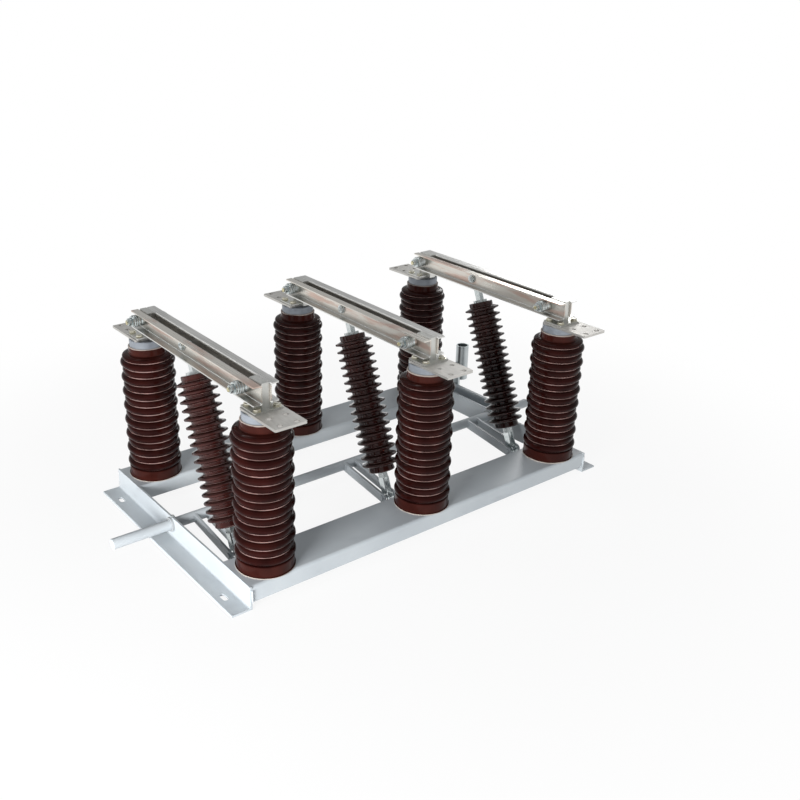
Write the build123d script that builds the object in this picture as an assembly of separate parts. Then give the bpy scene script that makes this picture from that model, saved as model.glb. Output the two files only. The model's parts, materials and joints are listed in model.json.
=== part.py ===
from build123d import *
import math
import os

# Three-pole indoor isolating switch. Millimetres.
# X runs along the frame from pole 1 to pole 3, Y from the front posts to the
# rear posts, Z is up. The origin is on the floor, in the middle of the frame.

# ---- frame ----
end_margin = 83.0          # outer pole to the outer face of the end angle
frame_depth = 697.0        # length of the end angles
angle_height = 60.0
angle_foot = 55.0          # horizontal leg, outer face of the upright leg to its toe, with the leg
angle_wall = 5.0
angle_root = 5.0           # fillet in the corner of the angle
slot_length = 28.0
slot_width = 14.0
slot_pitch = 552.0         # front slot to rear slot
slot_edge = 27.5           # upright leg's outer face to the slot's centre line
channel_width = 131.0
channel_height = 41.0
channel_wall = 5.0
channel_bend = 8.0         # outside radius of the folds

# ---- poles ----
pole_pitch = 480.0
post_offset = 282.0        # post axis from the middle, front and rear
post_height = 373.0        # porcelain alone
post_foot_radius = 69.0
post_foot_height = 30.0
post_foot_round = 4.0
post_core_radius = 61.0
large_shed_radius = 72.0
small_shed_radius = 67.5
shed_count = 15            # a large shed first and last, small ones between
small_shed_share = 0.92    # height of a small shed to that of a large one
shed_groove = 0.8          # left open between two sheds
shoulder_height = 14.0
shoulder_radius = 66.5
shoulder_round = 5.0
neck_radius = 49.0
neck_length = 20.0         # shoulder to the porcelain's top
neck_root = 3.0
neck_round = 2.0
gasket_height = 3.0
gasket_radius = 71.0
cap_height = 19.0
cap_radius = 45.0
post_bolt_radius = 8.0

# ---- terminals ----
terminal_thickness = 6.0
terminal_width = 82.0
terminal_reach = 120.0     # from the post axis outward
terminal_tail = 24.0       # from the post axis inward
terminal_hole_radius = 6.5
terminal_hole_pitch = 42.0
terminal_hole_edge = 12.5  # outer edge to the first row
terminal_corner = 4.0

# ---- contacts ----
bar_thickness = 20.0
bar_length = 50.0
bar_front_set = 5.0        # post axis to the middle of the front bar, inward
bar_rear_set = 20.0        # post axis to the middle of the rear bar, inward
bar_chamfer = 2.0
bar_over = 24.5            # middle of the blade to the top of the bar
base_half = 38.0
base_length = 62.0
base_thickness = 4.0
base_out = 5.0             # post axis to the middle of the base, outward
hinge_set = 11.0           # post axis to the hinge, inward

# ---- blades ----
blade_height = 46.0
blade_flange = 20.0        # outward from the web's outer face
blade_wall = 3.0
blade_bend = 4.0
flange_corner = 3.0
blade_gap = 0.6            # web to contact bar, each side
blade_tail = 20.0          # hinge to the rear end
blade_nose = 4.0           # beyond the front bar
front_lift = 37.5          # terminal top to the middle of the blade at the front bar
hinge_lift = 48.0          # terminal top to the hinge
hinge_pin_radius = 6.0
running = 0.05             # radial clearance of a pin that turns in its bore
spring_bolt_set = 13.0     # front bar's inner face to the front spring bolt
spring_bolt_radius = 5.0

# ---- contact springs ----
cup_radius = 15.0
cup_height = 8.0
cup_lip = 3.0
ring_wire = 3.0
washer_height = 3.0
ring_radius = 11.0
ring_count = 3
nut_across = 17.0
nut_height = 10.0
bolt_tail = 4.0

# ---- shaft and levers ----
shaft_radius = 14.0
shaft_y = 32.0
shaft_z = 38.0
shaft_reach = 163.0        # beyond the end angle's outer face
shaft_chamfer = 1.5
end_turned = 0.25          # taken off the radius of the shaft ends for the hubs
end_shoulder = 9.0         # end angle's outer face to the shoulder
bush_radius = 19.0
bush_length = 16.0
lever_arm = 179.6
lever_drop = 7.7           # degrees below the horizontal when closed
lever_gap = 30.0           # between the two bars
lever_wall = 6.0
lever_width = 26.0
lever_pin_radius = 5.0
lever_pin_head = 7.5
lever_pin_head_height = 3.5

# ---- operating crank ----
crank_clear = 6.0          # angle's toe to the crank bar
crank_arm = 235.0
crank_width = 30.0
crank_wall = 10.0
crank_hub_radius = 24.0
crank_hub_length = 34.0
socket_radius = 20.5
socket_bore = 16.5
socket_top = 184.0         # height of the open end above the floor
socket_base = 28.0         # pin to the underside of the tube
lug_wall = 8.0
lug_width = 30.0
lug_gap = 1.0              # crank bar to lug
lug_overlap = 46.0         # weld seam of the lug up the side of the tube
lug_seat = 1.5             # flat of the tube's side let into the lug
socket_pin_radius = 6.0
socket_pin_head = 10.0
socket_pin_head_height = 5.0

# ---- pull rods ----
rod_pin_set = 222.0        # hinge to the pull rod's pin, along the blade
rod_pin_radius = 6.0
rod_top_length = 73.0      # pin to the insulator
rod_bottom_length = 72.0   # insulator to the lever pin
rod_tongue = 14.0
rod_tongue_width = 18.0
rod_top_end_radius = 34.5
rod_top_end_height = 10.5
rod_bottom_end_radius = 36.0
rod_bottom_end_height = 11.6
rod_end_round = 3.0
rod_core_radius = 34.0
rod_shed_radius = 50.0
rod_shed_count = 17
rod_shed_edge = 3.3
rod_shed_root = 8.0
rod_foot_radius = 20.0     # metal foot of the tongue
rod_foot_height = 6.0
rod_nut_across = 24.0
rod_nut_height = 18.0
strap_wall = 4.0
strap_width = 20.0
eye_radius = 13.5
strap_gap = 12.0
eye_play = 4.2             # free play of the lower eye around the lever pin

# ---- derived places ----
frame_length = 2 * (pole_pitch + end_margin)
half_length = frame_length / 2
half_depth = frame_depth / 2
channel_mid = half_depth - channel_width / 2
post_base = angle_height
post_top = post_base + post_height
large_sheds = (shed_count + 1) // 2
shed_span = post_height - post_foot_height - shoulder_height - neck_length
large_shed_height = shed_span / (large_sheds + (shed_count - large_sheds) * small_shed_share)
small_shed_height = large_shed_height * small_shed_share
cap_top = post_top + cap_height
terminal_top = cap_top + terminal_thickness
web_inner = bar_thickness / 2 + blade_gap
web_outer = web_inner + blade_wall
hinge_y = post_offset - hinge_set
hinge_z = terminal_top + hinge_lift
front_bar_y = -post_offset + bar_front_set
rear_bar_y = post_offset - bar_rear_set
blade_slope = math.degrees(math.atan2(hinge_lift - front_lift, hinge_y - front_bar_y))
spring_bolt_y = front_bar_y + bar_length / 2 + spring_bolt_set - hinge_y   # from the hinge
blade_front = front_bar_y - bar_length / 2 - blade_nose - hinge_y
poles = [-pole_pitch, 0.0, pole_pitch]
lever_pin_y = shaft_y - lever_arm * math.cos(math.radians(lever_drop))
lever_pin_z = shaft_z - lever_arm * math.sin(math.radians(lever_drop))
rod_pin_y = hinge_y - rod_pin_set * math.cos(math.radians(blade_slope))
rod_pivot_z = hinge_z - rod_pin_set * math.sin(math.radians(blade_slope))
rod_length = math.hypot(rod_pin_y - lever_pin_y, rod_pivot_z - lever_pin_z)
rod_lean = math.degrees(math.atan2(rod_pin_y - lever_pin_y, rod_pivot_z - lever_pin_z))
insulator_length = rod_length - rod_top_length - rod_bottom_length

parts = {}


def cylinder_x(radius, x0, x1, y, z):
    """Round bar along X from x0 to x1."""
    return Pos((x0 + x1) / 2, y, z) * Rot(0, 90, 0) * Cylinder(radius, abs(x1 - x0))


def block(x0, x1, y0, y1, z0, z1):
    return Pos((x0 + x1) / 2, (y0 + y1) / 2, (z0 + z1) / 2) * Box(x1 - x0, y1 - y0, z1 - z0)


# ---- end angles ----
def end_angle(side):
    toe = angle_foot
    # upright leg first, its outer face looks out along X
    section = make_face(Polyline((-angle_wall, 0), (toe - angle_wall, 0), (toe - angle_wall, angle_wall), (0, angle_wall), (0, angle_height), (-angle_wall, angle_height), close=True))
    body = extrude(Plane.XZ * section, frame_depth / 2, both=True)
    corner = body.edges().filter_by(Axis.Y).sort_by_distance((0, 0, angle_wall))[0]
    body = fillet(corner, angle_root)
    toe_edge = body.edges().filter_by(Axis.Y).sort_by_distance((toe - angle_wall, 0, angle_wall))[0]
    body = fillet(toe_edge, angle_wall * 0.5)
    slot = extrude(Rot(0, 0, 90) * SlotOverall(slot_length, slot_width), angle_wall * 2, both=True)
    for s in (-1, 1):
        body -= Pos(slot_edge, s * slot_pitch / 2, angle_wall / 2) * slot
    body -= cylinder_x(bush_radius, -angle_wall * 3, angle_wall * 3, shaft_y, shaft_z)
    if side < 0:
        body = mirror(body, Plane.YZ)
    return Pos(side * half_length, 0, 0) * body


parts["end_angle_left"] = end_angle(-1)
parts["end_angle_right"] = end_angle(1)


# ---- channels ----
def channel(side):
    w, h, t = channel_width / 2, channel_height, channel_wall
    outer = make_face(Polyline((-w, -h), (-w, 0), (w, 0), (w, -h), (w - t, -h), (w - t, -t), (-w + t, -t), (-w + t, -h), close=True))
    run = frame_length - 2 * angle_wall
    body = extrude(Plane.YZ * outer, run / 2, both=True)
    rims = body.edges().filter_by(Axis.X)
    out = [e for e in rims if abs(e.center().Z) < 0.01]
    inn = [e for e in rims if abs(e.center().Z + t) < 0.01]
    body = fillet(out, channel_bend)
    rims = body.edges().filter_by(Axis.X)
    inn = [e for e in rims if abs(e.center().Z + t) < 0.01 and abs(abs(e.center().Y) - (w - t)) < 0.01]
    body = fillet(inn, channel_bend - t)
    body = Pos(0, side * channel_mid, angle_height) * body
    for x in poles:
        body -= Pos(x, side * post_offset, angle_height) * Cylinder(post_bolt_radius, channel_wall * 4)
    return body


parts["front_channel"] = channel(-1)
parts["rear_channel"] = channel(1)


# ---- bearings and main shaft ----
def bearing(side):
    middle = half_length - angle_wall / 2
    x0, x1 = middle - bush_length / 2, middle + bush_length / 2
    ring = cylinder_x(bush_radius, x0, x1, shaft_y, shaft_z) - cylinder_x(shaft_radius + running, x0 - 1, x1 + 1, shaft_y, shaft_z)
    return ring if side > 0 else mirror(ring, Plane.YZ)


parts["bearing_left"] = bearing(-1)
parts["bearing_right"] = bearing(1)
shaft_end = half_length + shaft_reach
shoulder_x = half_length + end_shoulder
hub_radius = shaft_radius - end_turned
shaft = cylinder_x(hub_radius, -shaft_end, shaft_end, shaft_y, shaft_z)
shaft = chamfer(shaft.edges().filter_by(GeomType.CIRCLE), shaft_chamfer)
parts["main_shaft"] = shaft + cylinder_x(shaft_radius, -shoulder_x, shoulder_x, shaft_y, shaft_z)


# ---- levers ----
def lever(x):
    """Two bars welded to the front of the shaft, with the pin that holds the pull rod."""
    mid = (shaft_y + lever_pin_y) / 2, (shaft_z + lever_pin_z) / 2
    slant = math.degrees(math.atan2(lever_pin_z - shaft_z, lever_pin_y - shaft_y))
    outline = Rot(0, 0, slant) * SlotCenterToCenter(lever_arm, lever_width)
    plate = extrude(Plane.YZ * (Pos(mid[0], mid[1]) * outline), lever_wall / 2, both=True)
    plate -= cylinder_x(shaft_radius, -lever_wall, lever_wall, shaft_y, shaft_z)
    side = (lever_gap + lever_wall) / 2
    out = lever_gap / 2 + lever_wall
    pin = cylinder_x(lever_pin_radius, -out, out, lever_pin_y, lever_pin_z)
    for s in (-1, 1):
        pin += Pos(s * side, 0, 0) * plate
        pin += cylinder_x(lever_pin_head, s * out, s * (out + lever_pin_head_height), lever_pin_y, lever_pin_z)
    return Pos(x, 0, 0) * pin


for i, x in enumerate(poles, 1):
    parts[f"lever_{i}"] = lever(x)

# ---- operating crank and its socket ----
crank_x = half_length - angle_wall + angle_foot + crank_clear + crank_wall / 2
crank_end_y = shaft_y + crank_arm
outline = SlotCenterToCenter(crank_arm, crank_width)
arm = extrude(Plane.YZ * (Pos((shaft_y + crank_end_y) / 2, shaft_z) * outline), crank_wall / 2, both=True)
arm = Pos(crank_x, 0, 0) * arm
hub_start = crank_x - crank_wall / 2
arm += cylinder_x(crank_hub_radius, hub_start, hub_start + crank_hub_length, shaft_y, shaft_z)
arm -= cylinder_x(hub_radius, hub_start - 5, hub_start + crank_hub_length + 5, shaft_y, shaft_z)
lug_start = crank_x + crank_wall / 2 + lug_gap
lug_end = lug_start + lug_wall
arm += cylinder_x(socket_pin_radius, crank_x, lug_end + lug_gap / 2, crank_end_y, shaft_z)
arm += cylinder_x(socket_pin_head, lug_end + lug_gap / 2, lug_end + lug_gap / 2 + socket_pin_head_height, crank_end_y, shaft_z)
parts["operating_crank"] = arm

socket_x = lug_end - lug_seat + socket_radius
tube_bottom = shaft_z + socket_base
tube_length = socket_top - tube_bottom
tube = Pos(socket_x, crank_end_y, tube_bottom + tube_length / 2) * Cylinder(socket_radius, tube_length)
lug_length = socket_base + lug_overlap
lug = extrude(Plane.YZ * (Pos(0, lug_length / 2) * Rot(0, 0, 90) * SlotCenterToCenter(lug_length, lug_width)), lug_wall)
lug = Pos(lug_start, crank_end_y, shaft_z) * lug
tube += lug
tube -= Pos(socket_x, crank_end_y, tube_bottom + tube_length / 2) * Cylinder(socket_bore, tube_length * 2)
tube -= cylinder_x(socket_pin_radius + running, lug_start - 5, lug_end + 5, crank_end_y, shaft_z)
parts["operating_socket"] = tube


# ---- post insulators ----
def post():
    """Glazed porcelain post, revolved from its half section."""
    with BuildPart() as solid:
        with BuildSketch(Plane.XZ):
            with BuildLine():
                a = Line((0, 0), (post_foot_radius, 0))
                z = post_foot_height
                r = post_foot_round
                b = Line(a @ 1, (post_foot_radius, z - r))
                c = ThreePointArc(b @ 1, (post_foot_radius - r * 0.293, z - r * 0.293), (post_foot_radius - r, z))
                last = Line(c @ 1, (post_core_radius, z)) @ 1
                for k in range(shed_count):
                    large = k % 2 == 0
                    radius = large_shed_radius if large else small_shed_radius
                    height = large_shed_height if large else small_shed_height
                    groove = Line(last, (post_core_radius, z + shed_groove / 2))
                    lobe = EllipticalCenterArc((post_core_radius, z + height / 2), radius - post_core_radius, (height - shed_groove) / 2, start_angle=-90, arc_size=180)
                    last = (post_core_radius, z + height - shed_groove / 2)
                    z += height
                groove = Line(last, (post_core_radius, z + shed_groove / 2))
                over = ThreePointArc(groove @ 1, (shoulder_radius, z + shoulder_height * 0.4), (shoulder_radius - shoulder_round, z + shoulder_height * 0.8))
                flat = ThreePointArc(over @ 1, (shoulder_radius - 2 * shoulder_round, z + shoulder_height * 0.95), (neck_radius + neck_root, z + shoulder_height))
                hollow = RadiusArc(flat @ 1, (neck_radius, z + shoulder_height + neck_root), neck_root * 1.07)
                side = Line(hollow @ 1, (neck_radius, post_height - neck_round))
                neck = Line(side @ 1, (neck_radius - neck_round, post_height))
                lid = Line(neck @ 1, (0, post_height))
                Line(lid @ 1, a @ 0)
            make_face()
        revolve(axis=Axis.Z)
    ring = Pos(0, 0, gasket_height / 2) * Cylinder(gasket_radius, gasket_height)
    return solid.part, ring


porcelain, gasket = post()
for i, x in enumerate(poles, 1):
    for name, s in (("front", -1), ("rear", 1)):
        place = Pos(x, s * post_offset, post_base)
        parts[f"post_{name}_{i}"] = place * (porcelain + gasket)
    cap = Cylinder(cap_radius, cap_height)
    cap = chamfer(cap.edges().group_by(Axis.Z)[-1], 1.5)
    parts[f"post_caps_{i}"] = Compound([Pos(x, s * post_offset, post_top + cap_height / 2) * cap for s in (-1, 1)])


# ---- terminal plates ----
def terminal(x, s):
    length = terminal_reach + terminal_tail
    plate = Box(terminal_width, length, terminal_thickness)
    plate = fillet(plate.edges().filter_by(Axis.Z), terminal_corner)
    hole = Cylinder(terminal_hole_radius, terminal_thickness * 2)
    first = length / 2 - terminal_hole_edge
    for dx in (-0.5, 0.5):
        for row in (0, 1):
            plate -= Pos(dx * terminal_hole_pitch, first - row * terminal_hole_pitch, 0) * hole
    if s < 0:
        plate = Rot(0, 0, 180) * plate
    middle = s * (post_offset + (terminal_reach - terminal_tail) / 2)
    return Pos(x, middle, cap_top + terminal_thickness / 2) * plate


for i, x in enumerate(poles, 1):
    parts[f"terminal_front_{i}"] = terminal(x, -1)
    parts[f"terminal_rear_{i}"] = terminal(x, 1)


# ---- fixed contacts ----
def contact(x, s, y, lift):
    """Base plate with the upright bar that the blade halves grip."""
    base = Pos(0, 0, base_thickness / 2) * Box(2 * base_half, base_length, base_thickness)
    base = Pos(0, s * (post_offset + base_out), 0) * fillet(base.edges().filter_by(Axis.Z), terminal_corner)
    bar_height = lift + bar_over
    bar = Pos(0, 0, bar_height / 2) * Box(bar_thickness, bar_length, bar_height)
    bar = chamfer(bar.edges().filter_by(Axis.Y).group_by(Axis.Z)[-1], bar_chamfer)
    return Pos(x, 0, terminal_top) * (base + Pos(0, y, 0) * bar)


for i, x in enumerate(poles, 1):
    parts[f"contact_front_{i}"] = contact(x, -1, front_bar_y, front_lift)
    rear = contact(x, 1, rear_bar_y, hinge_lift)
    parts[f"contact_rear_{i}"] = rear - cylinder_x(hinge_pin_radius + running, x - bar_thickness, x + bar_thickness, hinge_y, hinge_z)


# ---- blades ----
def on_blade(x, shape):
    """From the blade's own frame, hinge at the origin and blade along -Y."""
    return Pos(x, hinge_y, hinge_z) * Rot(blade_slope, 0, 0) * shape


def blade_half(s):
    """One formed channel, its flanges turned away from the contact bar."""
    w, f, h, t = web_inner, blade_flange, blade_height / 2, blade_wall
    section = make_face(Polyline((w, -h), (w, h), (w + t + f, h), (w + t + f, h - t), (w + t, h - t), (w + t, -h + t), (w + t + f, -h + t), (w + t + f, -h), close=True))
    length = blade_tail - blade_front
    body = extrude(Plane.XZ * section, length / 2, both=True)
    rims = body.edges().filter_by(Axis.Y)
    out = [e for e in rims if abs(e.center().X - w) < 0.01]
    body = fillet(out, blade_bend)
    inn = [e for e in body.edges().filter_by(Axis.Y) if abs(e.center().X - (w + t)) < 0.01 and abs(abs(e.center().Z) - (h - t)) < 0.01]
    body = fillet(inn, blade_bend - t)
    corners = body.edges().filter_by(Axis.Z).filter_by(lambda e: abs(e.center().X - (w + t + f)) < 0.01)
    body = fillet(corners, flange_corner)
    body = Pos(0, (blade_front + blade_tail) / 2, 0) * body
    for radius, y in ((hinge_pin_radius, 0), (spring_bolt_radius, spring_bolt_y), (rod_pin_radius + running, -rod_pin_set)):
        body -= cylinder_x(radius, 0, w + t + f, y, 0)
    return body if s > 0 else mirror(body, Plane.YZ)


for i, x in enumerate(poles, 1):
    parts[f"blade_{i}"] = Compound([on_blade(x, blade_half(s)) for s in (-1, 1)])


# ---- contact springs ----
def spring_pack(bolt):
    """Cup washer, spring rings, flat washer, nut and bolt end, along +X from the web."""
    x = 0.0
    with BuildPart() as stack:
        with BuildSketch(Plane.XY):
            with BuildLine():
                base = Line((x, 0), (x, cup_radius))
                lip = Line(base @ 1, (x + cup_lip, cup_radius))
                x += cup_height
                slope = Line(lip @ 1, (x, ring_radius))
                last = slope @ 1
                for k in range(ring_count):
                    turn = ThreePointArc(last, (x + ring_wire, ring_radius + ring_wire), (x + 2 * ring_wire, ring_radius))
                    x += 2 * ring_wire
                    last = turn @ 1
                rise = Line(last, (x, ring_radius + ring_wire))
                x += washer_height
                rim = Line(rise @ 1, (x, ring_radius + ring_wire))
                fall = Line(rim @ 1, (x, bolt))
                x += nut_height + bolt_tail
                stem = Line(fall @ 1, (x, bolt))
                tip = Line(stem @ 1, (x, 0))
                Line(tip @ 1, base @ 0)
            make_face()
        revolve(axis=Axis.X)
    nut = extrude(Plane.YZ * RegularPolygon(nut_across / 2, 6, major_radius=False), nut_height + 0.5)
    return stack.part + Pos(x - nut_height - bolt_tail - 0.5, 0, 0) * nut


for i, x in enumerate(poles, 1):
    solids = []
    for y, r in ((spring_bolt_y, spring_bolt_radius), (0, hinge_pin_radius)):
        bolt = cylinder_x(r, -web_outer - 2, web_outer + 2, 0, 0)
        pack = Pos(web_outer, 0, 0) * spring_pack(r)
        bolt += pack
        bolt += mirror(pack, Plane.YZ)
        solids.append(on_blade(x, Pos(0, y, 0) * bolt))
    parts[f"contact_springs_{i}"] = Compound(solids)


# ---- pull rods ----
def rod_place(x):
    """From the rod's own frame, pin at the origin and rod down along -Z."""
    return Pos(x, rod_pin_y, rod_pivot_z) * Rot(-rod_lean, 0, 0)


def rod_insulator():
    top = -rod_top_length
    bottom = top - insulator_length
    pitch = (insulator_length - rod_top_end_height - rod_bottom_end_height) / rod_shed_count
    r = rod_end_round
    with BuildPart() as solid:
        with BuildSketch(Plane.XZ):
            with BuildLine():
                start = Line((0, top), (rod_top_end_radius - r, top))
                cur = ThreePointArc(start @ 1, (rod_top_end_radius - r * 0.293, top - r * 0.293), (rod_top_end_radius, top - r))
                z = top - rod_top_end_height
                cur = Line(cur @ 1, (rod_top_end_radius, z))
                cur = Line(cur @ 1, (rod_core_radius, z - 1))
                for k in range(rod_shed_count):
                    zc = z - pitch / 2
                    cur = Line(cur @ 1, (rod_core_radius, zc + rod_shed_root))
                    cur = Line(cur @ 1, (rod_shed_radius - rod_shed_edge, zc + rod_shed_edge))
                    cur = ThreePointArc(cur @ 1, (rod_shed_radius, zc), (rod_shed_radius - rod_shed_edge, zc - rod_shed_edge))
                    cur = Line(cur @ 1, (rod_core_radius, zc - rod_shed_root))
                    z -= pitch
                cur = Line(cur @ 1, (rod_bottom_end_radius, bottom + r))
                cur = ThreePointArc(cur @ 1, (rod_bottom_end_radius - r * 0.293, bottom + r * 0.293), (rod_bottom_end_radius - r, bottom))
                cur = Line(cur @ 1, (0, bottom))
                Line(cur @ 1, start @ 0)
            make_face()
        revolve(axis=Axis.Z)
    return solid.part


def rod_fitting():
    """Tongue between the blade halves, and the two straps of the lower eye."""
    outline = Pos(0, -rod_top_length / 2) * Rot(0, 0, 90) * SlotCenterToCenter(rod_top_length, rod_tongue_width)
    tongue = extrude(Plane.YZ * outline, rod_tongue / 2, both=True)
    reach = 2 * rod_shed_radius
    tongue -= block(-reach, reach, -reach, reach, -rod_top_length - reach, -rod_top_length)
    tongue += Pos(0, 0, -rod_top_length + rod_foot_height / 2) * Cylinder(rod_foot_radius, rod_foot_height)
    tongue += cylinder_x(rod_pin_radius, -web_outer - 6, web_outer + 6, 0, 0)
    for s in (-1, 1):
        tongue += cylinder_x(rod_pin_radius + 4, s * (web_outer + 0.5), s * (web_outer + 6.5), 0, 0)
    low = -rod_top_length - insulator_length
    eye = Pos(0, 0, low - rod_nut_height) * extrude(RegularPolygon(rod_nut_across / 2, 6, major_radius=False), rod_nut_height)
    for s in (-1, 1):
        shape = Pos(0, (low - rod_length) / 2) * Rot(0, 0, 90) * SlotCenterToCenter(rod_length + low, strap_width)
        strap = extrude(Plane.YZ * shape, strap_wall / 2, both=True)
        strap += cylinder_x(eye_radius, -strap_wall / 2, strap_wall / 2, 0, -rod_length)
        strap -= block(-reach, reach, -reach, reach, low - rod_nut_height + 0.5, low + reach)
        eye += Pos(s * (strap_gap + strap_wall) / 2, 0, 0) * strap
    play = cylinder_x(lever_pin_radius + eye_play, -reach, reach, 0, -rod_length)
    return tongue, eye - play


insulator = rod_insulator()
tongue, eye = rod_fitting()
for i, x in enumerate(poles, 1):
    place = rod_place(x)
    parts[f"pull_rod_{i}"] = place * insulator
    parts[f"rod_fittings_{i}"] = Compound([place * tongue, place * eye])

os.makedirs("parts", exist_ok=True)
for name, shape in parts.items():
    export_step(shape, f"parts/{name}.step")
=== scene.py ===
import json
import math

import bmesh
import bpy
from mathutils import Matrix, Vector


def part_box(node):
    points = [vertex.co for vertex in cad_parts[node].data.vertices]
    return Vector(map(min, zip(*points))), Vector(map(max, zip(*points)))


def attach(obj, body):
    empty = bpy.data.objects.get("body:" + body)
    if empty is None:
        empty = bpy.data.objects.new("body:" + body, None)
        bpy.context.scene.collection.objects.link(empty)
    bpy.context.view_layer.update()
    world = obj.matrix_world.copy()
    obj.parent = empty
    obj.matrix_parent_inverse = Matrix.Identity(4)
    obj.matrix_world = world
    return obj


bpy.context.scene.view_settings.view_transform = "Standard"
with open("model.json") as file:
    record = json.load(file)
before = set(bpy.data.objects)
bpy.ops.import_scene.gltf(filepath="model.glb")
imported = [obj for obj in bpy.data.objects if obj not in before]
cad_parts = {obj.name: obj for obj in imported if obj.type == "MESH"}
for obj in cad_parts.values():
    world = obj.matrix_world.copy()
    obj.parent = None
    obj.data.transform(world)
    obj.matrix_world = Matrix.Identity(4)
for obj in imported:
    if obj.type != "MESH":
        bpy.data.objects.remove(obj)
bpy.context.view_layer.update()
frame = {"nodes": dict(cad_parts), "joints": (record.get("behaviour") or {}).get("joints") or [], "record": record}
NODES = frame["nodes"]

# The poles from left to right, and the pivots that the bolts and pins follow. Lengths are in metres.
JOINTS = {joint["name"]: joint for joint in frame["joints"]}
POLES = (1, 2, 3)
POLE_X = {i: JOINTS[f"blade_{i}_swing"]["pos_m"][0] for i in POLES}
HALF_PITCH = POLE_X[3] / 2
HINGE = Vector((0, *JOINTS["blade_1_swing"]["pos_m"][1:]))
ROD_PIN = Vector((0, *JOINTS["rod_1_pivot"]["pos_m"][1:]))
SHAFT = Vector((0, *JOINTS["shaft_turn"]["pos_m"][1:]))

# The channels, and the posts on them: plain foot, grooves between the sheds, and neck under the cap.
CHANNEL_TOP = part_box("front_channel")[1].z
CHANNEL_WEB = 0.005
POST_Y = sum(corner.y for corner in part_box("post_rear_1")) / 2
FOOT_TOP = CHANNEL_TOP + 0.030
GROOVE_RADIUS = 0.061
PORCELAIN_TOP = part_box("post_front_1")[1].z
NECK_FOOT = PORCELAIN_TOP - 0.020

# A pull rod's middle, and the radius of its core between the sheds.
ROD_MIDDLE = sum(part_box("pull_rod_1"), Vector()) / 2
ROD_CORE = 0.034

# A blade half: its slope, the two faces of its web from the blade's middle plane, and the heights
# from its middle line between which its web passes into a flange.
SLOPE = math.atan2(HINGE.z - ROD_PIN.z, HINGE.y - ROD_PIN.y)
WEB_INNER, WEB_OUTER = 0.0106, 0.0136
FLANGE_EDGE = (0.0195, 0.0215)


# ---------------------------------------------------------------- meshes

MERGE_DISTANCE = 2e-6
SMOOTH_ANGLE = 35
THREAD_SUNK, THREAD_RAISED, THREAD_STEPS = 0.0002, 0.0003, 20

# Angles in radians past which soften rounds an edge: the rims alone, or a hexagon's corners too.
RIMS, RIMS_AND_CORNERS = 1.2, 0.9


def turned(axis, degrees):
    return Matrix.Rotation(math.radians(degrees), 4, axis)


# Lays a form that was made along Z down along +X.
ALONG_X = turned("Y", 90)


def prism(bm, sides, radius, start, length, place, top_radius=None):
    """A closed prism or round bar along Z from start, added to bm."""
    made = bmesh.ops.create_cone(
        bm, cap_ends=True, segments=sides, radius1=radius,
        radius2=radius if top_radius is None else top_radius, depth=length)
    middle = Matrix.Translation((0, 0, start + length / 2))
    bmesh.ops.transform(bm, matrix=place @ middle, verts=made["verts"])
    return made["verts"]


def hexagon(bm, across, start, length, place):
    """A six-sided prism, measured across its flats."""
    return prism(bm, 6, across / 2 / math.cos(math.pi / 6), start, length, place)


def soften(bm, verts, width, angle=RIMS):
    """Rounds the sharp edges of what was just added."""
    inside = set(verts)
    edges = [e for e in bm.edges if e.verts[0] in inside and e.verts[1] in inside
             and len(e.link_faces) == 2 and e.calc_face_angle(0) > angle]
    bmesh.ops.bevel(bm, geom=edges, offset=width, offset_type="OFFSET",
                    affect="EDGES", segments=2, profile=0.5, material=-1)


def joined_to(verts):
    """All vertices that hang together with the given ones."""
    found, seen = list(verts), set(verts)
    for vert in found:
        for edge in vert.link_edges:
            other = edge.other_vert(vert)
            if other not in seen:
                seen.add(other)
                found.append(other)
    return found


def chain(bm, points, closed=False):
    """Vertices at the points, with edges from each to the next."""
    verts = [bm.verts.new(point) for point in points]
    following = verts[1:] + verts[:1] if closed else verts[1:]
    return verts, [bm.edges.new(pair) for pair in zip(verts, following)]


def lathe(bm, profile, sides, place):
    """Turns (radius, height) points about Z into a form that piece closes at its poles."""
    verts, edges = chain(bm, [(radius, 0, height) for radius, height in profile])
    bmesh.ops.spin(bm, geom=verts + edges, axis=(0, 0, 1), cent=(0, 0, 0),
                   angle=2 * math.pi, steps=sides, use_merge=True)
    bmesh.ops.transform(bm, matrix=place, verts=joined_to(verts))


def ring(bm, radius, wire, middle, place):
    """A round ring of wire about Z, with its middle at a height."""
    made = bmesh.ops.create_circle(bm, segments=12, radius=wire)["verts"]
    across = Matrix.Translation((radius, 0, middle)) @ turned("X", 90)
    bmesh.ops.transform(bm, matrix=across, verts=made)
    edges = list({e for v in made for e in v.link_edges})
    bmesh.ops.spin(bm, geom=made + edges, axis=(0, 0, 1), cent=(0, 0, 0),
                   angle=2 * math.pi, steps=40, use_merge=True)
    bmesh.ops.transform(bm, matrix=place, verts=joined_to(made))


def thread(bm, radius, pitch, start, turns, place):
    """A triangular ridge that winds round a bolt end."""
    root, crest = radius - THREAD_SUNK, radius + THREAD_RAISED
    verts, edges = chain(bm, [(root, 0, start), (crest, 0, start + pitch / 2),
                              (root, 0, start + pitch)], closed=True)
    steps = int(THREAD_STEPS * turns)
    bmesh.ops.spin(bm, geom=verts + edges, axis=(0, 0, 1), cent=(0, 0, 0), steps=steps,
                   angle=2 * math.pi * turns, dvec=(0, 0, pitch * turns / steps))
    made = joined_to(verts)
    ends = {e for v in made for e in v.link_edges if len(e.link_faces) == 1}
    bmesh.ops.holes_fill(bm, edges=list(ends), sides=4)
    bmesh.ops.transform(bm, matrix=place, verts=made)


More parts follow.
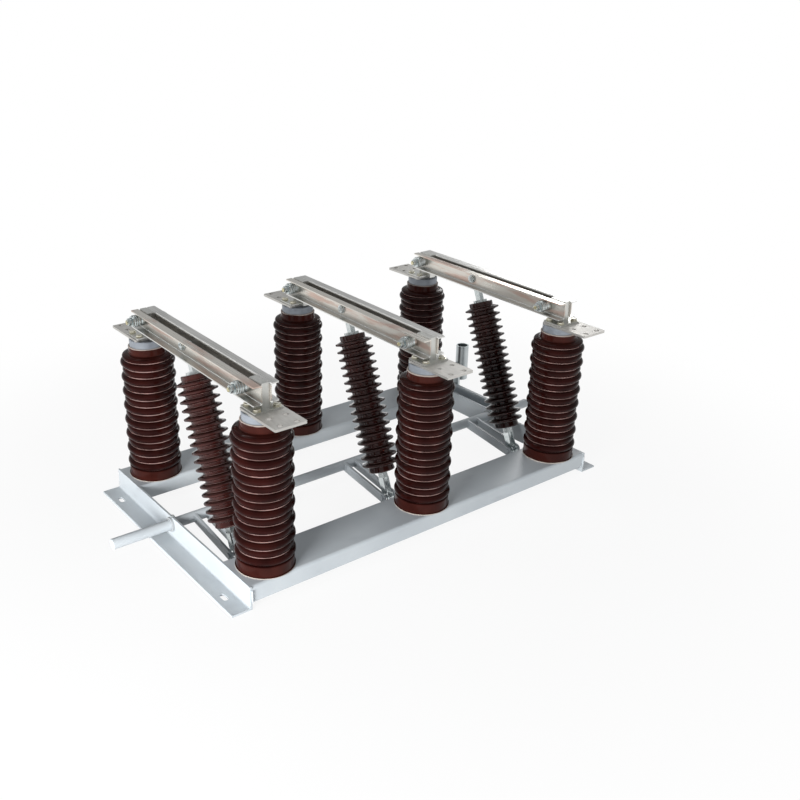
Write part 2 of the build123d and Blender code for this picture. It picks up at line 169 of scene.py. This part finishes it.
def piece(name, bm, body, finish):
    """Turns a finished bmesh into a piece that rides on a body."""
    bmesh.ops.remove_doubles(bm, verts=bm.verts, dist=MERGE_DISTANCE)
    bmesh.ops.recalc_face_normals(bm, faces=bm.faces)
    mesh = bpy.data.meshes.new(name)
    bm.to_mesh(mesh)
    bm.free()
    mesh.shade_smooth()
    mesh.set_sharp_from_angle(angle=math.radians(SMOOTH_ANGLE))
    mesh.materials.append(finish)
    made = bpy.data.objects.new(name, mesh)
    bpy.context.scene.collection.objects.link(made)
    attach(made, body)


# ---------------------------------------------------------------- finishes

def maths(nodes, link, kind, *values):
    """The result of one operation on sockets and numbers."""
    made = nodes.new("ShaderNodeMath")
    made.operation = kind
    for socket, value in zip(made.inputs, values):
        if isinstance(value, bpy.types.NodeSocket):
            link(value, socket)
        else:
            socket.default_value = value
    return made.outputs[0]


def group_socket(group, name, direction, kind, value=None):
    made = group.interface.new_socket(name=name, in_out=direction, socket_type=kind)
    if value is not None:
        made.default_value = value


def cloudy_group():
    """Slow cloudy change and a fine speckle, both about 0.5, from the place on the piece."""
    g = bpy.data.node_groups.new("cloudy change", "ShaderNodeTree")
    group_socket(g, "Place", "INPUT", "NodeSocketVector")
    group_socket(g, "Cloud size", "INPUT", "NodeSocketFloat", 8.0)
    group_socket(g, "Speckle size", "INPUT", "NodeSocketFloat", 400.0)
    group_socket(g, "Cloud", "OUTPUT", "NodeSocketFloat")
    group_socket(g, "Speckle", "OUTPUT", "NodeSocketFloat")
    given, out = g.nodes.new("NodeGroupInput"), g.nodes.new("NodeGroupOutput")
    for name, detail in (("Cloud", 4), ("Speckle", 2)):
        noise = g.nodes.new("ShaderNodeTexNoise")
        noise.inputs["Detail"].default_value = detail
        g.links.new(given.outputs["Place"], noise.inputs["Vector"])
        g.links.new(given.outputs[f"{name} size"], noise.inputs["Scale"])
        g.links.new(noise.outputs["Fac"], out.inputs[name])
    return g


def two_tone_group():
    """From one colour to another while a mask goes from Low to High, and the second one's share."""
    g = bpy.data.node_groups.new("two tones", "ShaderNodeTree")
    group_socket(g, "Mask", "INPUT", "NodeSocketFloat", 0.5)
    group_socket(g, "Low", "INPUT", "NodeSocketFloat", 0.3)
    group_socket(g, "High", "INPUT", "NodeSocketFloat", 0.7)
    group_socket(g, "First", "INPUT", "NodeSocketColor", (0.5, 0.5, 0.5, 1))
    group_socket(g, "Second", "INPUT", "NodeSocketColor", (0.6, 0.6, 0.6, 1))
    group_socket(g, "Colour", "OUTPUT", "NodeSocketColor")
    group_socket(g, "Share", "OUTPUT", "NodeSocketFloat")
    n, link = g.nodes, g.links.new
    given, out = n.new("NodeGroupInput"), n.new("NodeGroupOutput")
    span = n.new("ShaderNodeMapRange")
    span.interpolation_type = "SMOOTHSTEP"
    mix = n.new("ShaderNodeMix")
    mix.data_type = "RGBA"
    link(given.outputs["Mask"], span.inputs["Value"])
    link(given.outputs["Low"], span.inputs["From Min"])
    link(given.outputs["High"], span.inputs["From Max"])
    link(span.outputs["Result"], mix.inputs["Factor"])
    link(given.outputs["First"], mix.inputs["A"])
    link(given.outputs["Second"], mix.inputs["B"])
    link(mix.outputs["Result"], out.inputs["Colour"])
    link(span.outputs["Result"], out.inputs["Share"])
    return g


CLOUDY, TWO_TONES = cloudy_group(), two_tone_group()


# Most of a cloud mask lies between these.
CLOUD_RANGE = (0.3, 0.7)


class Finish:
    """One material with its Principled shader and a place on the piece."""

    def __init__(self, name, metallic=0.0, rough=0.5, coat=0.0, coat_rough=0.1):
        self.material = bpy.data.materials.new(name)
        self.material.use_nodes = True
        self.nodes = self.material.node_tree.nodes
        self.link = self.material.node_tree.links.new
        self.shader = self.nodes["Principled BSDF"]
        for socket, value in (("Metallic", metallic), ("Roughness", rough), ("IOR", 1.5),
                              ("Coat Weight", coat), ("Coat Roughness", coat_rough)):
            self.shader.inputs[socket].default_value = value
        self.place = self.nodes.new("ShaderNodeTexCoord").outputs["Object"]

    def use(self, group, **values):
        """One of the node groups above, with sockets or numbers for its inputs."""
        made = self.nodes.new("ShaderNodeGroup")
        made.node_tree = group
        for key, value in values.items():
            socket = made.inputs[key.replace("_", " ")]
            if isinstance(value, bpy.types.NodeSocket):
                self.link(value, socket)
            else:
                socket.default_value = value
        return made

    def clouds(self, size, stretch=None, speckle=400.0):
        """The cloud mask and the speckle mask, stretched along an axis if asked."""
        place = self.place
        if stretch:
            mapping = self.nodes.new("ShaderNodeMapping")
            mapping.inputs["Scale"].default_value = stretch
            self.link(place, mapping.inputs["Vector"])
            place = mapping.outputs["Vector"]
        made = self.use(CLOUDY, Place=place, Cloud_size=size, Speckle_size=speckle)
        return made.outputs["Cloud"], made.outputs["Speckle"]

    def tones(self, mask, first, second, low=CLOUD_RANGE[0], high=CLOUD_RANGE[1]):
        """The first colour at low and the second at high. Each is three numbers or other tones."""
        first, second = (c.outputs["Colour"] if isinstance(c, bpy.types.Node) else (*c, 1)
                         for c in (first, second))
        return self.use(TWO_TONES, Mask=mask, Low=low, High=high, First=first, Second=second)

    def axis(self, letter):
        made = self.nodes.new("ShaderNodeSeparateXYZ")
        self.link(self.place, made.inputs["Vector"])
        return made.outputs[letter]

    def along(self, direction, start):
        """How far a place lies from start in a direction."""
        made = self.nodes.new("ShaderNodeVectorMath")
        made.operation = "DOT_PRODUCT"
        self.link(self.place, made.inputs[0])
        made.inputs[1].default_value = direction
        return self.sum("SUBTRACT", made.outputs["Value"], Vector(direction).dot(start))

    def beside_pole(self):
        """How far a place lies to the right of the middle plane of its own pole."""
        return self.sum("WRAP", self.axis("X"), HALF_PITCH, -HALF_PITCH)

    def radius(self, side, back):
        """The distance from an axis, from the two offsets across it."""
        squares = self.sum("MULTIPLY", side, side), self.sum("MULTIPLY", back, back)
        return self.sum("SQRT", self.sum("ADD", *squares))

    def sum(self, kind, *values):
        return maths(self.nodes, self.link, kind, *values)

    def ranged(self, value, low, high, first, second):
        """Goes from first to second while the value goes from low to high."""
        made = self.nodes.new("ShaderNodeMapRange")
        for key, number in (("From Min", low), ("From Max", high), ("To Min", first), ("To Max", second)):
            made.inputs[key].default_value = number
        self.link(value, made.inputs["Value"])
        return made.outputs["Result"]

    def colour(self, tones):
        self.link(tones.outputs["Colour"], self.shader.inputs["Base Color"])

    def rough(self, socket):
        self.link(socket, self.shader.inputs["Roughness"])

    def bump(self, socket, distance, strength):
        made = self.nodes.new("ShaderNodeBump")
        made.inputs["Distance"].default_value = distance
        made.inputs["Strength"].default_value = strength
        self.link(socket, made.inputs["Height"])
        self.link(made.outputs["Normal"], self.shader.inputs["Normal"])


def painted_steel():
    """Light grey paint, a little thin and rubbed in places, with fine orange peel."""
    f = Finish("light grey paint", coat=0.1, coat_rough=0.3)
    cloud, speckle = f.clouds(5.0, speckle=900.0)
    rubbed, _ = f.clouds(3.0, (3, 5, 8))
    paint = f.tones(cloud, (0.485, 0.525, 0.555), (0.545, 0.585, 0.61))
    f.colour(f.tones(rubbed, paint, (0.44, 0.475, 0.505), 0.58, 0.80))
    f.rough(f.ranged(cloud, *CLOUD_RANGE, 0.33, 0.46))
    f.bump(speckle, 0.00005, 0.6)
    return f.material


def rough_cast(name, first, second, rough, size, speckle, bump, metallic=0.0):
    """A cast or overpainted surface that drifts between two near tones, with a fine speckle."""
    f = Finish(name, metallic)
    cloud, grit = f.clouds(size, speckle=speckle)
    f.colour(f.tones(cloud, first, second))
    f.rough(f.ranged(cloud, *CLOUD_RANGE, *rough))
    f.bump(grit, bump, 0.6)
    return f.material


GLAZE_ROUGHNESS, CEMENT_ROUGHNESS = 0.07, 0.8


def glaze(name, dark, light, shine):
    """Dark brown porcelain glaze that runs thin to red-brown in places, a little wavy."""
    f = Finish(name, rough=GLAZE_ROUGHNESS)
    f.shader.inputs["Specular IOR Level"].default_value = shine
    cloud, _ = f.clouds(22.0)
    f.bump(cloud, 0.0003, 0.3)
    return f, cloud, f.tones(cloud, dark, light)


def post_glaze():
    """Painted highlight lines in the grooves, and sheds a darker brown than the redder foot and neck as painted
    shade, with cement under the foot and round the cap.
    """
    f, cloud, brown = glaze("post glaze and cement",
                            (0.0110, 0.0019, 0.0015), (0.0205, 0.0036, 0.0027), 0.09)
    height = f.axis("Z")
    back = f.sum("SUBTRACT", f.sum("ABSOLUTE", f.axis("Y")), POST_Y)
    radius = f.radius(f.beside_pole(), back)

    # The grooves' painted highlight lines stop short of the neck, which is as slim as they are.
    at_neck = f.ranged(height, NECK_FOOT - 0.0132, NECK_FOOT - 0.0120, 0.0, 1.0)
    # Painted highlight: a pale pinkish band at the root of each groove between the sheds, whatever the light.
    painted_groove_highlight = f.tones(cloud, (0.26, 0.175, 0.160), (0.56, 0.41, 0.385), 0.35, 0.65)
    sheds = f.tones(f.sum("ADD", radius, at_neck), painted_groove_highlight, brown,
                    GROOVE_RADIUS + 0.0018, GROOVE_RADIUS + 0.0034)

    # The sheds' darker brown against this lighter red-brown of foot and neck is painted shade for the sheds'
    # self-shadowing.
    red = f.tones(cloud, (0.026, 0.0060, 0.0044), (0.040, 0.0092, 0.0066))
    foot = f.tones(height, red, sheds, FOOT_TOP - 0.003, FOOT_TOP - 0.0006)
    neck = f.tones(height, foot, red, NECK_FOOT - 0.006, NECK_FOOT + 0.002)

    # The two lines of cement are 2 mm high, with a ragged edge.
    ragged = f.sum("ADD", height, f.ranged(cloud, *CLOUD_RANGE, -0.0009, 0.0009))
    under_foot = f.tones(ragged, (0.40, 0.35, 0.31), neck,
                         CHANNEL_TOP + 0.0016, CHANNEL_TOP + 0.0024)
    round_cap = f.tones(ragged, under_foot, (0.36, 0.31, 0.28),
                        PORCELAIN_TOP - 0.0024, PORCELAIN_TOP - 0.0016)
    f.colour(round_cap)
    cement = f.sum("MAXIMUM", round_cap.outputs["Share"], f.sum("SUBTRACT", 1.0, under_foot.outputs["Share"]))
    f.rough(f.ranged(cement, 0, 1, GLAZE_ROUGHNESS, CEMENT_ROUGHNESS))
    return f.material


def rod_glaze():
    """The glaze of the pull rods, with a thin painted highlight ring at the root of each shed."""
    f, _, brown = glaze("rod glaze", (0.0210, 0.0052, 0.0044), (0.0380, 0.0102, 0.0085), 0.42)
    run = (ROD_PIN - Vector((0, *ROD_MIDDLE[1:]))).normalized()
    radius = f.radius(f.beside_pole(), f.along((0, -run.z, run.y), ROD_PIN))
    # Painted highlight: a thin pale band at the root of each shed's upper cone, whatever the light.
    line = f.tones(radius, (0.30, 0.215, 0.20), brown, ROD_CORE + 0.0036, ROD_CORE + 0.0050)
    f.colour(f.tones(radius, brown, line, ROD_CORE + 0.0022, ROD_CORE + 0.0028))
    return f.material


def drawn_metal(name, first, second, rough, grain):
    """Plated sheet with a drawn grain, as fine along each axis as grain says."""
    f = Finish(name, metallic=1.0)
    cloud, _ = f.clouds(7.0)
    drawn, _ = f.clouds(6.0, grain)
    both = f.sum("MULTIPLY", f.sum("ADD", cloud, drawn), 0.5)
    tone = f.tones(both, first, second, 0.38, 0.62)
    f.colour(tone)
    f.rough(f.ranged(both, 0.35, 0.65, *rough))
    f.bump(drawn, 0.00003, 0.5)
    return f, tone


def plated(*look):
    """A drawn metal with nothing more on it."""
    return drawn_metal(*look)[0].material


def plated_copper():
    """Blade halves: warm webs between greyer flanges, painted highlights along the bends, and painted shade on the
    faces of the slot between the halves.
    """
    f, tone = drawn_metal("bright plated copper", (0.66, 0.655, 0.635), (0.78, 0.775, 0.75),
                          (0.24, 0.38), (40, 1.5, 40))
    side = f.beside_pole()
    off = f.sum("ABSOLUTE", side)
    height = f.along((0, -math.sin(SLOPE), math.cos(SLOPE)), HINGE)
    level = f.sum("ABSOLUTE", height)

    # The webs are warm, and so is the whole upper part of each left half.
    blush, _ = f.clouds(3.0, (8, 3, 20))
    copper = f.tones(blush, (0.64, 0.49, 0.42), (0.76, 0.73, 0.67), 0.34, 0.56)
    right, lower = f.ranged(side, -0.002, 0.002, 0.0, 1.0), f.ranged(height, 0.0, 0.01, 1.0, 0.0)
    web = f.tones(f.sum("MINIMUM", level, f.sum("ADD", right, lower)), copper, tone, 0.0150, 0.0185)

    # Painted highlights along the bends at the webs and where the web stands on the lower flange, and painted
    # shade in the slot.
    # Painted highlight: near-white along the bends where the webs turn into the flanges.
    painted_bend_highlight = f.tones(f.sum("ADD", off, f.ranged(level, *FLANGE_EDGE, 1.0, 0.0)),
                   web, (0.93, 0.92, 0.89), WEB_OUTER + 0.0006, WEB_OUTER - 0.0006)
    # Painted shade: the faces inside the slot between the two halves are coloured dark and dull.
    slot = f.tones(f.sum("ADD", off, f.ranged(level, *FLANGE_EDGE, 0.0, 1.0)),
                   (0.36, 0.335, 0.30), painted_bend_highlight, WEB_INNER + 0.0004, WEB_INNER + 0.0010)
    # Painted highlight: a near-white strip where the web stands on the lower flange.
    painted_crease_highlight = f.tones(f.sum("ADD", off, f.ranged(height, -0.0195, -0.0175, 0.0, 1.0)),
                     slot, (0.86, 0.87, 0.84), WEB_OUTER + 0.0024, WEB_OUTER + 0.0012)
    f.colour(painted_crease_highlight)
    # The painted highlights and the painted shade of the slot are less metallic, so that their painted colour
    # shows.
    bright = f.sum("MAXIMUM", painted_bend_highlight.outputs["Share"], painted_crease_highlight.outputs["Share"])
    matt = f.sum("MAXIMUM", bright, f.sum("SUBTRACT", 1.0, slot.outputs["Share"]))
    f.link(f.ranged(matt, 0, 1, 1.0, 0.3), f.shader.inputs["Metallic"])
    return f.material


PAINT = painted_steel()
POST = post_glaze()
ROD = rod_glaze()
BLADE = plated_copper()
TIN = plated("matt tin plate", (0.61, 0.595, 0.565), (0.70, 0.685, 0.655), (0.42, 0.56), (30, 6, 30))
CONTACT = plated("tin plated contact", (0.60, 0.60, 0.57), (0.72, 0.72, 0.69), (0.28, 0.42), (30, 30, 3))
ZINC = plated("bright zinc plate", (0.55, 0.60, 0.60), (0.74, 0.78, 0.78), (0.2, 0.34), (20, 20, 20))
PALE_BRASS = plated("pale yellow zinc plate",
                    (0.74, 0.70, 0.56), (0.88, 0.86, 0.76), (0.18, 0.3), (30, 30, 30))
GOLD_ZINC = plated("yellow zinc plate", (0.60, 0.54, 0.32), (0.74, 0.70, 0.50), (0.22, 0.36), (30, 30, 30))
TUBE = plated("dull zinc plate", (0.47, 0.51, 0.52), (0.60, 0.64, 0.65), (0.36, 0.48), (4, 4, 4))
CAP = rough_cast("cast cap", (0.215, 0.235, 0.265), (0.30, 0.325, 0.36), (0.35, 0.5),
                 size=20.0, speckle=600.0, bump=0.0001, metallic=0.5)
BUSH = rough_cast("overpainted bearing bush", (0.36, 0.38, 0.39), (0.43, 0.45, 0.46), (0.4, 0.5),
                  size=30.0, speckle=700.0, bump=0.00005)

# The finish of each slot, and of the parts that look unlike the rest of their slot.
FINISHES = {"grey_paint": PAINT, "bronze": BUSH, "zinc_plate": ZINC, "tinned_plate": TIN,
            "contact_metal": CONTACT, "blade_metal": BLADE, "cap_metal": CAP, "brown_glaze": POST}
OWN_FINISHES = {"operating_socket": TUBE, **{f"pull_rod_{i}": ROD for i in POLES}}
for part in frame["record"]["subparts"]:
    slots = NODES[part["node"]].data.materials
    slots.clear()
    slots.append(OWN_FINISHES.get(part["node"], FINISHES[part["material_slot"]]))


# ---------------------------------------------------------------- fasteners

def hex_bolt(bm, place, across, height, washer_radius=0.0, washer=0.0, end_radius=0.0, end=0.0):
    """Washer, chamfered hexagon and bolt end, standing on place along its Z."""
    if washer:
        soften(bm, prism(bm, 32, washer_radius, 0, washer, place), washer * 0.25)
    soften(bm, hexagon(bm, across, washer, height, place), height * 0.09)
    if end:
        soften(bm, prism(bm, 20, end_radius, washer + height, end, place), end_radius * 0.18)


# A contact's base on its terminal plate, and its bolts' distances from the base's middle.
BASE_LENGTH = 0.062
BASE_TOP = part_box("terminal_front_1")[1].z + 0.004
BOLT_X, BOLT_Y = 0.026, 0.020


def contact_bolts(side, i):
    """Four pale yellow bolts that clamp a contact base and terminal plate to the cap, none turned alike."""
    low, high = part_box(f"contact_{side}_{i}")
    middle = low.y + BASE_LENGTH / 2 if side == "front" else high.y - BASE_LENGTH / 2
    bm = bmesh.new()
    for sx in (-1, 1):
        for sy in (-1, 1):
            place = Matrix.Translation((POLE_X[i] + sx * BOLT_X, middle + sy * BOLT_Y, BASE_TOP))
            hex_bolt(bm, place @ turned("Z", 17 * sx + 8 * sy), across=0.015, height=0.0046,
                     washer_radius=0.0098, washer=0.0014)
    piece(f"contact_bolts_{side}_{i}", bm, "frame", PALE_BRASS)


def on_blade(i, along):
    """A place on the middle line of the blade, along metres from its hinge."""
    return (Matrix.Translation((POLE_X[i], HINGE.y, HINGE.z)) @ Matrix.Rotation(SLOPE, 4, "X")
            @ Matrix.Translation((0, along, 0)))


# Each spring bolt's place along the blade and its radius, then the rings, the nut with its raised
# round face, and the bolt end. Feet and faces are so far out from the blade's middle plane.
SPRING_BOLTS = ((-0.5100, 0.005), (0.0, 0.006))
RING_RADIUS, RING_WIRE, RING_FOOT = 0.0130, 0.0030, WEB_OUTER + 0.008
NUT_ACROSS, NUT_HEIGHT, NUT_FOOT = 0.0174, 0.0101, 0.0427
NUT_FACE, NUT_FACE_HEIGHT, NUT_FACE_RADII = 0.0524, 0.0008, (0.0079, 0.0074)
BOLT_END, THREAD_PITCH, THREAD_TURNS = 0.0046, 0.0013, 2.4


def spring_details(i):
    """Spring rings, nuts and yellow threaded bolt ends, at both ends of both bolts."""
    rings, nuts, ends = bmesh.new(), bmesh.new(), bmesh.new()
    for along, radius in SPRING_BOLTS:
        for side in (0, 180):
            place = on_blade(i, along) @ turned("Z", side) @ ALONG_X
            for k in range(3):
                ring(rings, RING_RADIUS, RING_WIRE, RING_FOOT + RING_WIRE + 2 * RING_WIRE * k, place)
            nut = hexagon(nuts, NUT_ACROSS, NUT_FOOT, NUT_HEIGHT, place)
            soften(nuts, nut, width=0.0011, angle=RIMS_AND_CORNERS)
            low, high = NUT_FACE_RADII
            prism(nuts, 28, low, NUT_FACE, NUT_FACE_HEIGHT, place, top_radius=high)
            thread(ends, radius, THREAD_PITCH, NUT_FACE + NUT_FACE_HEIGHT, THREAD_TURNS, place)
            soften(ends, prism(ends, 24, radius, NUT_FACE, BOLT_END, place), width=0.0007)
    piece(f"spring_rings_{i}", rings, f"blade_{i}", ZINC)
    piece(f"spring_nuts_{i}", nuts, f"blade_{i}", ZINC)
    piece(f"spring_bolt_ends_{i}", ends, f"blade_{i}", GOLD_ZINC)


# The pull rod's pin: washer, collar, and half the section of its domed end, each as radius and
# distance out from the blade's middle plane.
PIN_WASHER, PIN_WASHER_HEIGHT = (0.0125, WEB_OUTER + 0.00025), 0.0014
PIN_COLLAR, PIN_COLLAR_HEIGHT = (0.0083, 0.0200), 0.0010
PIN_DOME = [(0.0, 0.0232), (0.0030, 0.0229), (0.0052, 0.0219),
            (0.0061, 0.0206), (0.0062, 0.0195), (0.0, 0.0195)]


def rod_pin_details(i):
    """Washers against the blade, and the collars and domed ends of the pull rod's pin."""
    bm = bmesh.new()
    pin = Matrix.Translation((POLE_X[i], ROD_PIN.y, ROD_PIN.z))
    for side in (0, 180):
        place = pin @ turned("Z", side) @ ALONG_X
        soften(bm, prism(bm, 36, *PIN_WASHER, PIN_WASHER_HEIGHT, place), width=0.0003)
        lathe(bm, PIN_DOME, 28, place)
        soften(bm, prism(bm, 28, *PIN_COLLAR, PIN_COLLAR_HEIGHT, place), width=0.0003)
    piece(f"rod_pin_washers_{i}", bm, f"rod_{i}", ZINC)


def post_bolts():
    """Bolt heads and washers under the channels, one for each post."""
    bm = bmesh.new()
    for i in POLES:
        for side in ("front", "rear"):
            low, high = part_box(f"post_{side}_{i}")
            place = Matrix.Translation((POLE_X[i], (low.y + high.y) / 2, CHANNEL_TOP - CHANNEL_WEB))
            hex_bolt(bm, place @ turned("X", 180) @ turned("Z", 11 * i), across=0.024, height=0.010,
                     washer_radius=0.0150, washer=0.003)
    piece("post_bolts", bm, "frame", ZINC)


SCREW_X, SCREW_FORWARD = 0.5605, 0.004


def set_screws():
    """The small screw over the shaft on the top edge of each end angle."""
    bm = bmesh.new()
    for x in (-SCREW_X, SCREW_X):
        place = Matrix.Translation((x, SHAFT.y - SCREW_FORWARD, CHANNEL_TOP))
        hex_bolt(bm, place, across=0.0085, height=0.0040, end_radius=0.0026, end=0.0018)
    piece("bearing_screws", bm, "frame", ZINC)


# Shares of a seam's radius: a ripple's length, and the radius between two ripples. Then the share
# of a ripple's length that lies before its crest.
RIPPLE_LENGTH, RIPPLE_DIP, RIPPLE_RISE = 0.9, 0.86, 0.42


def weld(bm, start, end, radius):
    """A rippled seam of weld from start to end."""
    run = Vector(end) - Vector(start)
    ripples = max(2, int(run.length / (radius * RIPPLE_LENGTH)))
    dip = radius * RIPPLE_DIP
    profile = [(0.0, 0.0)]
    for k in range(ripples):
        crest = run.length * (k + 0.5) / ripples
        profile += [(dip, crest - run.length / ripples * RIPPLE_RISE), (radius, crest)]
    profile += [(dip, run.length), (0.0, run.length)]
    lathe(bm, profile, 10, Matrix.Translation(start) @ run.to_track_quat("Z", "Y").to_matrix().to_4x4())


# The seams: where they are on the frame and on the levers, how thick, how far their middle lies
# off the face that they are on, and between which heights they run.
ANGLE_INNER = 0.5580
CHANNEL_FACES = ((-0.3485, -1), (-0.2175, 1), (0.2175, -1), (0.3485, 1))
FRAME_SEAM, FRAME_SEAM_OFF = 0.0026, 0.0012
FRAME_SEAM_HEIGHTS = (CHANNEL_TOP - 0.039, CHANNEL_TOP - 0.009)
FORK_ARM_X, ARM_FACE = 0.018, 0.0034
LEVER_SEAM, LEVER_SEAM_Y = 0.0021, SHAFT.y - 0.0148
LEVER_SEAM_HEIGHTS = (SHAFT.z - 0.008, SHAFT.z + 0.006)


def welds():
    """Seams between the channels and the end angles, and the levers and the shaft."""
    bm = bmesh.new()
    for x in (-ANGLE_INNER, ANGLE_INNER):
        for face, outward in CHANNEL_FACES:
            low, high = ((x, face + outward * FRAME_SEAM_OFF, z) for z in FRAME_SEAM_HEIGHTS)
            weld(bm, low, high, FRAME_SEAM)
    piece("frame_welds", bm, "frame", PAINT)
    bm = bmesh.new()
    for i in POLES:
        for arm in (-1, 1):
            for face in (-1, 1):
                x = POLE_X[i] + arm * FORK_ARM_X + face * ARM_FACE
                low, high = ((x, LEVER_SEAM_Y, z) for z in LEVER_SEAM_HEIGHTS)
                weld(bm, low, high, LEVER_SEAM)
    piece("lever_welds", bm, "shaft", PAINT)


for i in POLES:
    contact_bolts("front", i)
    contact_bolts("rear", i)
    spring_details(i)
    rod_pin_details(i)
post_bolts()
set_screws()
welds()


# ---------------------------------------------------------------- camera, light and floor

# The photograph's frame, the camera's focal length and optical centre in pixels, its place in
# metres, and the degrees that it looks to the right of +Y and down.
FRAME_PIXELS, FOCAL_PIXELS = 800, 955.55
CENTRE_ACROSS, CENTRE_DOWN = 327.77, 367.75
SENSOR_WIDTH = 36
CAMERA_PLACE = (-1.4761, -1.9040, 1.3109)
CAMERA_RIGHT, CAMERA_DOWN = 35.93, 21.89


def aimed(name, data, place, look):
    """A camera or lamp at place that looks along a direction."""
    made = bpy.data.objects.new(name, data)
    bpy.context.scene.collection.objects.link(made)
    made.location = place
    made.rotation_mode = "QUATERNION"
    made.rotation_quaternion = look.to_track_quat("-Z", "Y")
    return made


def camera():
    data = bpy.data.cameras.new("camera")
    data.sensor_width = SENSOR_WIDTH
    data.lens = FOCAL_PIXELS / FRAME_PIXELS * SENSOR_WIDTH
    data.shift_x = (FRAME_PIXELS / 2 - CENTRE_ACROSS) / FRAME_PIXELS
    data.shift_y = (CENTRE_DOWN - FRAME_PIXELS / 2) / FRAME_PIXELS
    right, down = math.radians(CAMERA_RIGHT), math.radians(CAMERA_DOWN)
    look = Vector((math.sin(right) * math.cos(down), math.cos(right) * math.cos(down), -math.sin(down)))
    bpy.context.scene.camera = aimed("camera", data, CAMERA_PLACE, look)


def lamp(name, place, target, size, power, mirrored=True):
    data = bpy.data.lights.new(name, "AREA")
    data.shape = "RECTANGLE"
    data.size, data.size_y = size
    data.energy = power
    aimed(name, data, place, Vector(target) - Vector(place)).visible_glossy = mirrored


def seen(nodes, link, mirrored_share):
    """1 for the camera, a share for reflections and glass, and 0 for the light on the switch."""
    path = nodes.new("ShaderNodeLightPath").outputs
    mirrored = maths(nodes, link, "MAXIMUM", path["Is Glossy Ray"], path["Is Transmission Ray"])
    share = maths(nodes, link, "MULTIPLY", mirrored, mirrored_share)
    return maths(nodes, link, "MAXIMUM", path["Is Camera Ray"], share)


def whitened(nodes, link, share, plain, white_kind, out):
    """Shows white in place of the plain surface or sky, by a share."""
    white = nodes.new(white_kind)
    white.inputs["Color"].default_value = (1, 1, 1, 1)
    white.inputs["Strength"].default_value = 1
    mix = nodes.new("ShaderNodeMixShader")
    link(share, mix.inputs[0])
    link(plain.outputs[0], mix.inputs[1])
    link(white.outputs[0], mix.inputs[2])
    link(mix.outputs[0], out.inputs["Surface"])


SKY_STRENGTH, SKY_MIRRORED = 0.16, 0.34


def sky():
    """A weak cool light all round, behind a background that looks white."""
    world = bpy.data.worlds.new("studio")
    bpy.context.scene.world = world
    world.use_nodes = True
    nodes, link = world.node_tree.nodes, world.node_tree.links.new
    nodes["Background"].inputs["Color"].default_value = (0.90, 0.95, 1.0, 1)
    nodes["Background"].inputs["Strength"].default_value = SKY_STRENGTH
    share = seen(nodes, link, SKY_MIRRORED)
    whitened(nodes, link, share, nodes["Background"], "ShaderNodeBackground", nodes["World Output"])


# The floor is wholly white from FLOOR_FAR on, and keeps some of the switch's shadow nearer by.
FLOOR_HALF, FLOOR_DROP = 8, 0.0002
FLOOR_NEAR, FLOOR_FAR, FLOOR_NEAR_WHITE = 0.7, 1.7, 0.9


def white_floor():
    bm = bmesh.new()
    bmesh.ops.create_grid(bm, x_segments=1, y_segments=1, size=FLOOR_HALF)
    bmesh.ops.translate(bm, verts=bm.verts, vec=(0, 0, -FLOOR_DROP))
    mesh = bpy.data.meshes.new("floor")
    bm.to_mesh(mesh)
    bm.free()
    floor = bpy.data.objects.new("floor", mesh)
    bpy.context.scene.collection.objects.link(floor)
    ground = bpy.data.materials.new("white floor")
    ground.use_nodes = True
    mesh.materials.append(ground)
    nodes, link = ground.node_tree.nodes, ground.node_tree.links.new
    shader = nodes["Principled BSDF"]
    shader.inputs["Base Color"].default_value = (0.9, 0.9, 0.9, 1)
    shader.inputs["Roughness"].default_value = 0.9
    away = nodes.new("ShaderNodeVectorMath")
    away.operation = "LENGTH"
    link(nodes.new("ShaderNodeTexCoord").outputs["Object"], away.inputs[0])
    fade = nodes.new("ShaderNodeMapRange")
    fade.interpolation_type = "SMOOTHSTEP"
    for key, number in (("From Min", FLOOR_NEAR), ("From Max", FLOOR_FAR),
                        ("To Min", FLOOR_NEAR_WHITE), ("To Max", 1.0)):
        fade.inputs[key].default_value = number
    link(away.outputs["Value"], fade.inputs["Value"])
    share = maths(nodes, link, "MULTIPLY", seen(nodes, link, 1.0), fade.outputs["Result"])
    whitened(nodes, link, share, shader, "ShaderNodeEmission", nodes["Material Output"])


camera()
sky()
white_floor()
lamp("strip", (0.29, 0.40, 2.4), (0, 0, 0.3), (3.4, 0.25), 11)
lamp("key", (-2.4, -1.15, 0.54), (0, 0, 0.22), (0.9, 0.9), 92, mirrored=False)
lamp("fill", (0.9, -2.8, 0.8), (0, 0, 0.3), (1.2, 1.2), 17, mirrored=False)
lamp("rim", (2.6, 1.6, 1.4), (0, 0, 0.3), (0.5, 0.9), 8)
